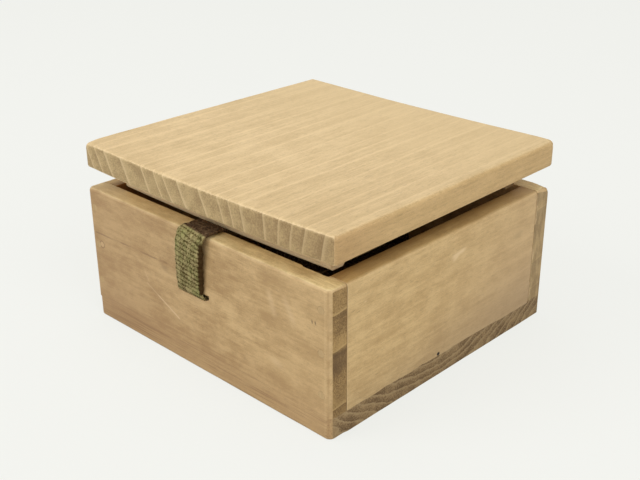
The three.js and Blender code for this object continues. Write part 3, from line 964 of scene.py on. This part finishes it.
# Where the growth rings cross the middle of the front end, in millimetres from the lid's middle
lid_ring_lines = [
    -47.5, -43.2, -38.5, -31, -21.8, -16.2, -12, -6, 2.8, 9.8, 13.5, 18, 26, 31.2, 35.2, 39.5, 45.8,
]


def lid_rings(wood):
    """Steep growth rings. Most lean to the left, and those near the right side a little to the right."""
    across = wood.x - 1.1 + wood.y * 0.0061
    lean = across.share(-5, 45) * 0.7 - 0.5
    waves = wood.noise(wood.x / 6, wood.y / 50, wood.z / 10, 1.0) - 0.5
    middle = across - lean * (wood.z - 52.3) + waves * 1.2
    return ring_count(wood, middle, lid_ring_lines, -55, 55)


wood = Timber(
    "lid wood", "Y", lid_rings,
    faces=(srgb(236, 207, 157), srgb(209, 180, 130)),
    ends=(srgb(206, 179, 128), srgb(166, 138, 92), srgb(217, 192, 144)),
    seed=41, figure=0.7, ring_on_face=0.3, end_from=0.8, Roughness=0.5,
)
# Pale flecks on the lid's edges: partly wear, partly a painted highlight.
wear_and_highlight = wood.noise(wood.x / 0.7, wood.y / 0.7, wood.z / 0.7, 4.0, 0.7).share(0.45, 0.65)
wood.stain(wood.is_edge * wear_and_highlight * 0.5, srgb(244, 219, 172))
# The top face, which gets a painted sheen: paler towards the back, and darker towards the right and the
# front.
top_painted_sheen = wood.is_level * wood.z.share(52, 54)
# Painted shade: the lid's sides are darker and browner than its top.
wood.stain(wood.is_side, (0.85, 0.78, 0.65), "MULTIPLY")
near_corner = (-wood.y).share(20, 48) * wood.is_side
wood.stain(near_corner, (0.88, 0.83, 0.8), "MULTIPLY")
# Painted light: the underside of the rounded front and right lower edges is lightened where shade falls.
lower_edge_painted_light = wood.is_under * (wood.x.share(48, 49) + (-wood.y).share(45.5, 46.2)).share(0, 1)
wood.stain(lower_edge_painted_light, (1.15, 1.18, 1.15), "MULTIPLY")
wood.stain(wood.x.share(-10, 50) * wood.is_end, (0.84, 0.8, 0.76), "MULTIPLY")
# Painted sheen on the top face.
wood.stain(wood.x.share(0, 50) * top_painted_sheen, (0.93, 0.92, 0.9), "MULTIPLY")
wood.stain((-wood.y).share(10, 47) * top_painted_sheen, (0.97, 0.96, 0.94), "MULTIPLY")
wood.stain(wood.y.share(-15, 45) * top_painted_sheen * 0.45, srgb(226, 198, 146))
dress(lid, wood.planed(0.05 * mm), "lid", "lid_wood", "lid_board")


# Battens
# Two strips of the same wood that run across the lid's grain and are pegged to its underside. They drop just
# inside the front and back walls, which keeps the lid in its place. The front one's ends are paler, as
# painted light where its right end shows under the lid's front corner, and the back one's darker, as painted
# shade where its right end shows in the gap under the lid.
def batten_rings(wood):
    """Nearly level rings with long waves."""
    return (wood.z + wood.noise(wood.x / 40, wood.y / 5, wood.z / 5) * 4) / 3


# The end colours are painted light on the front batten and painted shade on the back one.
for node, ends in (
    ("front_batten", (srgb(236, 208, 162), srgb(206, 176, 130), srgb(238, 212, 168))),
    ("back_batten", (srgb(166, 136, 92), srgb(124, 94, 58), srgb(178, 148, 102))),
):
    wood = Timber(
        node + " wood", "X", batten_rings,
        faces=(srgb(250, 228, 186), srgb(232, 206, 162)), ends=ends, seed=51, Roughness=0.6,
    )
    refinish(node, wood.planed(0.03 * mm))


# Floor and light
# The box stands on a pale surface in even light, with a softbox on either side and one more above it.
floor_reach = 3  # metres each way
bpy.ops.mesh.primitive_grid_add(x_subdivisions=8, y_subdivisions=8, size=2 * floor_reach)
floor = bpy.context.object
floor.name = "floor"
floor.location.z = -0.01 * mm
paper = Finish("pale floor", Roughness=1.0, Specular_IOR_Level=0.0, Base_Color=(*srgb(206, 205, 202), 1))
rays = paper.node("LightPath", {}, {}, "Is Camera Ray")
glow = paper.node("Emission", {}, {"Color": (*srgb(251, 252, 247), 1), "Strength": 1.0})
shown = paper.node("MixShader", {}, {0: rays * 0.8, 1: Value(paper, paper.shader.outputs[0]), 2: glow})
paper.feed(paper.nodes["Material Output"], {"Surface": shown})
floor.data.materials.append(paper.material)

world = bpy.data.worlds.new("studio")
scene.world = world
world.use_nodes = True
world.node_tree.nodes["Background"].inputs["Color"].default_value = (1, 1, 1, 1)
world.node_tree.nodes["Background"].inputs["Strength"].default_value = 0.5

lamp_aim = Vector((0, 0, 30)) * mm
lamp_distance = 950 * mm


def softbox(name, azimuth, elevation, size, watts):
    """A square lamp that faces the box. Its angles are in degrees, and its size is in metres."""
    towards = direction(math.radians(azimuth), math.radians(elevation))
    lamp = bpy.data.lights.new(name, "AREA")
    lamp.size = size
    lamp.energy = watts
    made = bpy.data.objects.new(name, lamp)
    scene.collection.objects.link(made)
    made.location = lamp_aim + towards * lamp_distance
    made.rotation_euler = towards.to_track_quat("Z", "Y").to_euler()


softbox("left softbox", -118, 40, 0.5, 3.1)
softbox("right softbox", -12, 40, 0.5, 2.9)
softbox("top softbox", 160, 75, 0.8, 1.6)
